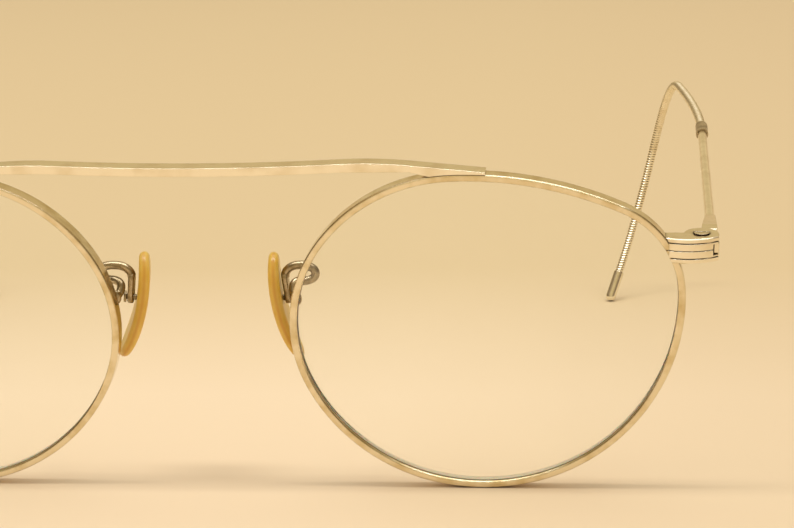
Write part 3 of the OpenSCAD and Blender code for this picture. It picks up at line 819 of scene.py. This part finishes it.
class SPECTACLES_OT_pads(bpy.types.Operator):
    """Model both nose pads"""

    bl_idname = "spectacles.pads"
    bl_label = "Model the nose pads"

    def execute(self, context):
        look = context.scene.spectacles_pads
        bpy.ops.object.select_all(action="DESELECT")
        bpy.ops.mesh.primitive_cube_add(size=1)
        pad = named("left_pad_celluloid")
        bpy.ops.object.mode_set(mode="EDIT")
        bpy.ops.mesh.subdivide(number_cuts=PAD_CUTS)
        bpy.ops.object.mode_set(mode="OBJECT")
        # The block is rounded to a ball and pressed to a plate with an oval outline, a
        # fully round edge and ends a little thinner than the middle
        for corner in pad.data.vertices:
            ball = corner.co.normalized()
            across = math.copysign(abs(ball.y) ** PAD_FULLNESS, ball.y) * look.width / 2
            along = ball.z * look.height / 2
            half = look.thickness / 2 * (1 - PAD_THINNING * abs(ball.z) ** 3)
            share = math.hypot(ball.y, ball.z)
            edge = (1 / share - 1) * math.hypot(across, along)
            round_over = math.sqrt(1 - (1 - min(1, edge / half)) ** 2)
            corner.co = (math.copysign(half * round_over, ball.x), across, along)
        # The map keeps each point's place through the thickness before the pad is bent
        layer = pad.data.uv_layers.new(name="thickness")
        for loop in pad.data.loops:
            corner = pad.data.vertices[loop.vertex_index].co
            layer.data[loop.index].uv = (
                corner.z / look.height + 0.5, abs(corner.x) / look.thickness
            )
        modified(
            pad, "SIMPLE_DEFORM", deform_method="BEND", deform_axis="Y",
            angle=look.height / look.bow,
        )
        other = copied(pad, "right_pad_celluloid")
        amber = amber_celluloid()
        for side, piece in zip(SIDES, (pad, other)):
            # Both pads were left rocked the same way, which mirrors on the right
            way = 1 if side == "left" else -1
            seat = (
                Matrix.Translation(PAD_MIDDLE * MM)
                @ Matrix.Rotation(way * PAD_SKEW - PAD_LEAN, 4, "Y")
                @ Matrix.Rotation(-PAD_SPLAY, 4, "Z")
            )
            rocked = turned_about(LEG, LEG_LEAN, way * look.rock)
            settled(piece, handed(side) @ rocked @ seat)
            finished(piece, f"{side}_nose_pad", f"{side}_pad", [amber])
        return {"FINISHED"}


def wire(name, points, radius):
    """A round wire through points."""
    bpy.ops.object.select_all(action="DESELECT")
    bpy.ops.curve.primitive_bezier_curve_add()
    line = named(name)
    spline = line.data.splines[0]
    spline.bezier_points.add(len(points) - len(spline.bezier_points))
    for knot, place in zip(spline.bezier_points, points):
        knot.co = Vector(place) * MM
        knot.handle_left_type = "AUTO"
        knot.handle_right_type = "AUTO"
    line.data.dimensions = "3D"
    line.data.resolution_u = 8
    line.data.bevel_depth = radius
    line.data.bevel_resolution = 6
    line.data.use_fill_caps = True
    alone(line)
    bpy.ops.object.convert(target="MESH")
    return bpy.context.view_layer.objects.active


class SPECTACLES_OT_arms(bpy.types.Operator):
    """Model both pad arms"""

    bl_idname = "spectacles.arms"
    bl_label = "Model the pad arms"

    def execute(self, context):
        look = context.scene.spectacles_pads
        arm = wire("left_arm_wire", ARM_ROUTE, look.arm_wire / 2)
        # The leg is the wire's end, hammered flat: a round blank drawn out upwards
        bpy.ops.object.select_all(action="DESELECT")
        bpy.ops.mesh.primitive_cylinder_add(
            vertices=32, radius=LEG_HALF_WIDTH * MM, depth=LEG_THICKNESS * MM,
            rotation=(0, math.radians(90), 0),
        )
        leg = named("left_leg")
        bpy.ops.object.transform_apply(location=True, rotation=True, scale=True)
        for corner in leg.data.vertices:
            if corner.co.z > 0:
                corner.co.z += LEG_RISE * MM
        modified(
            leg, "BEVEL", width=LEG_ROUNDING * MM, segments=3, limit_method="ANGLE",
            angle_limit=math.radians(50),
        )
        placed(leg, Matrix.Translation(LEG * MM) @ Matrix.Rotation(-LEG_LEAN, 4, "Y"))
        # The foot is a drop of braze on the back of the rim
        bpy.ops.object.select_all(action="DESELECT")
        bpy.ops.mesh.primitive_uv_sphere_add(
            segments=32, ring_count=16, radius=BRAZE_RADIUS * MM
        )
        foot = named("left_foot")
        drop = Matrix.Translation((ARM_FOOT + BRAZE_STANDS_OFF) * MM)
        placed(foot, drop @ Matrix.Diagonal(BRAZE_SHAPE))
        # Wire, leg and foot become one skin, smoothed where they run into one another
        alone(arm)
        leg.select_set(True)
        foot.select_set(True)
        bpy.ops.object.join()
        modified(arm, "REMESH", mode="VOXEL", voxel_size=ARM_VOXEL * MM)
        modified(arm, "SMOOTH", factor=0.5, iterations=5)
        other = copied(arm, "right_arm_wire")
        fitting = nickel_fittings()
        for side, piece in zip(SIDES, (arm, other)):
            settled(piece, handed(side))
            finished(piece, f"{side}_pad_arm", "front", [fitting])
        return {"FINISHED"}


def cable_heading(s):
    """The cable's slope at s millimetres along it, below level."""
    if s < CABLE_RUN:
        return CABLE_FALL
    if s < CABLE_RUN + CURL_LENGTH:
        return CABLE_FALL + (s - CABLE_RUN) / CURL_RADIUS
    return CABLE_FALL + CURL_TURN + (s - CABLE_RUN - CURL_LENGTH) / TAIL_RADIUS


def arc(radius, start, end):
    """The step back and up along an arc between two slopes."""
    back = math.sin(end) - math.sin(start)
    up = math.cos(end) - math.cos(start)
    return Vector((back, up)) * radius


def cable_place(s):
    """A point of the cable's middle line, s millimetres along it."""
    curl_end = CABLE_RUN + CURL_LENGTH
    fall = Vector((math.cos(CABLE_FALL), -math.sin(CABLE_FALL)))
    plan = fall * min(s, CABLE_RUN)
    if s > CABLE_RUN:
        plan += arc(CURL_RADIUS, CABLE_FALL, cable_heading(min(s, curl_end)))
    if s > curl_end:
        plan += arc(TAIL_RADIUS, CABLE_FALL + CURL_TURN, cable_heading(s))
    outwards = math.tan(CABLE_SPREAD) * s * math.exp(-s / SPREAD_FADE)
    inwards = CURL_INSET * (s / CABLE_LENGTH) ** 2
    return CABLE_START + Vector((outwards - inwards, plan.x, plan.y))


class SPECTACLES_OT_cables(bpy.types.Operator):
    """Wind both ear cables"""

    bl_idname = "spectacles.cables"
    bl_label = "Wind the ear cables"

    def execute(self, context):
        look = context.scene.spectacles_cable
        bpy.ops.object.select_all(action="DESELECT")
        bpy.ops.curve.primitive_nurbs_path_add()
        course = named("cable_course")
        course.data.splines.clear()
        spline = course.data.splines.new("POLY")
        spline.points.add(COURSE_STEPS)
        places = [
            cable_place(WINDING_LENGTH * k / COURSE_STEPS) for k in range(COURSE_STEPS + 1)
        ]
        for knot, place in zip(spline.points, places):
            knot.co = (*(place * MM), 1)
        course.data.dimensions = "3D"
        course.data.twist_mode = "MINIMUM"
        # The wire's crowned face, seen in section, is a ring that is opened and shaped.
        # It is screwed along the cable, one turn for each turn of the wire
        length = sum((b - a).length for a, b in zip(places, places[1:])) * MM
        turns = math.ceil(length / look.pitch)
        pitch = length / turns
        bpy.ops.object.select_all(action="DESELECT")
        bpy.ops.mesh.primitive_circle_add(vertices=CROWN_STEPS + 1, radius=look.width / 2)
        cable = named("left_cable_winding")
        ends = {0, CROWN_STEPS}
        only_edges(cable, lambda first, second: {first.index, second.index} == ends)
        bpy.ops.object.mode_set(mode="EDIT")
        bpy.ops.mesh.delete(type="EDGE_FACE")
        bpy.ops.object.mode_set(mode="OBJECT")
        for corner in cable.data.vertices:
            share = corner.index / CROWN_STEPS
            proud = look.crown * math.sin(math.pi * share) ** CROWN_FULLNESS
            corner.co = (look.width / 2 - look.crown + proud, 0, pitch * share)
        modified(
            cable, "SCREW", angle=math.radians(360), screw_offset=pitch,
            iterations=turns, steps=TURN_STEPS, render_steps=TURN_STEPS,
            use_merge_vertices=True, merge_threshold=0.001 * MM, axis="Z",
        )
        alone(cable)
        bpy.ops.object.mode_set(mode="EDIT")
        bpy.ops.mesh.select_mode(type="VERT")
        bpy.ops.mesh.select_all(action="SELECT")
        bpy.ops.mesh.remove_doubles(threshold=0.004 * MM)
        bpy.ops.mesh.select_all(action="DESELECT")
        bpy.ops.mesh.select_non_manifold()
        bpy.ops.mesh.edge_face_add()
        bpy.ops.object.mode_set(mode="OBJECT")
        modified(cable, "CURVE", object=course, deform_axis="POS_Z")
        bpy.data.objects.remove(course)
        other = copied(cable, "right_cable_winding")
        winding = wound_wire()
        for side, piece in zip(SIDES, (cable, other)):
            opened = 0 if side == "left" else -RIGHT_OPEN
            settled(piece, handed(side) @ turned_about(HINGE, HINGE_TILT, opened))
            finished(
                piece, f"{side}_ear_cable", f"{side}_temple_assembly", [winding],
            )
        return {"FINISHED"}


def soft_box(name, power, place, target, size):
    """An even rectangular lamp that points at a target."""
    bpy.ops.object.select_all(action="DESELECT")
    bpy.ops.object.light_add(type="AREA", location=place)
    lamp = named(name)
    lamp.data.energy = power
    lamp.data.shape = "RECTANGLE"
    lamp.data.size, lamp.data.size_y = size
    aim = Vector(target) - Vector(place)
    lamp.rotation_euler = aim.to_track_quat("-Z", "Y").to_euler()


class SPECTACLES_OT_stage(bpy.types.Operator):
    """Set the paper sweep, the light and the camera"""

    bl_idname = "spectacles.stage"
    bl_label = "Set the stage"

    def execute(self, context):
        look = context.scene.spectacles_studio
        scene = context.scene
        scene.view_settings.view_transform = "Standard"
        room_world()
        # One sheet of paper: flat under the object, then up in a wide curve behind it
        bpy.ops.object.select_all(action="DESELECT")
        bpy.ops.mesh.primitive_plane_add(size=1)
        sweep = named("paper_sweep")
        placed(sweep, Matrix.Diagonal((*PAPER_SIZE, 1, 1)))
        back = max(corner.co.y for corner in sweep.data.vertices)
        only_edges(sweep, lambda first, second: min(first.co.y, second.co.y) > back - MM)
        bpy.ops.object.mode_set(mode="EDIT")
        bpy.ops.mesh.spin(
            steps=24, angle=PAPER_TURN, center=(0, back, PAPER_CURVE), axis=(1, 0, 0)
        )
        bpy.ops.object.mode_set(mode="OBJECT")
        bpy.ops.object.shade_smooth()
        sweep.data.materials.append(cream_paper())
        soft_box("overhead_lamp", look.overhead, *OVERHEAD_LAMP)
        soft_box("wide_soft_box", look.wide, *WIDE_SOFT_BOX)
        bpy.ops.object.camera_add()
        camera = named("camera")
        camera.data.sensor_width = 36
        camera.data.lens = look.lens
        camera.data.clip_start = 0.01
        camera.data.clip_end = 20
        camera.matrix_world = (
            Matrix.Translation(look.place)
            @ Matrix.Rotation(-look.heading, 4, "Z")
            @ Matrix.Rotation(math.radians(90) - look.tilt, 4, "X")
            @ Matrix.Rotation(look.roll, 4, "Z")
        )
        scene.camera = camera
        return {"FINISHED"}


class SPECTACLES_PT_panel(bpy.types.Panel):
    """The steps in their order, with the sizes and colours that they use"""

    bl_idname = "SPECTACLES_PT_panel"
    bl_label = "Spectacles"
    bl_space_type = "VIEW_3D"
    bl_region_type = "UI"
    bl_category = "Spectacles"

    def draw(self, context):
        for step in STEPS:
            self.layout.operator(step.bl_idname)
        for name in LOOKS:
            look = getattr(context.scene, name)
            for setting in look.__annotations__:
                self.layout.prop(look, setting)


STEPS = (
    SPECTACLES_OT_metal,
    SPECTACLES_OT_lenses,
    SPECTACLES_OT_pads,
    SPECTACLES_OT_arms,
    SPECTACLES_OT_cables,
    SPECTACLES_OT_stage,
)
LOOKS = {
    "spectacles_metal": MetalLook,
    "spectacles_lenses": LensLook,
    "spectacles_pads": PadLook,
    "spectacles_cable": CableLook,
    "spectacles_studio": StudioLook,
}
CLASSES = (*LOOKS.values(), *STEPS, SPECTACLES_PT_panel)


def register():
    for made in CLASSES:
        bpy.utils.register_class(made)
    for name, look in LOOKS.items():
        setattr(bpy.types.Scene, name, bpy.props.PointerProperty(type=look))


def unregister():
    for name in LOOKS:
        delattr(bpy.types.Scene, name)
    for made in reversed(CLASSES):
        bpy.utils.unregister_class(made)


def main():
    register()
    bpy.ops.spectacles.metal()
    bpy.ops.spectacles.lenses()
    bpy.ops.spectacles.pads()
    bpy.ops.spectacles.arms()
    bpy.ops.spectacles.cables()
    bpy.ops.spectacles.stage()


if __name__ == "__main__":
    main()
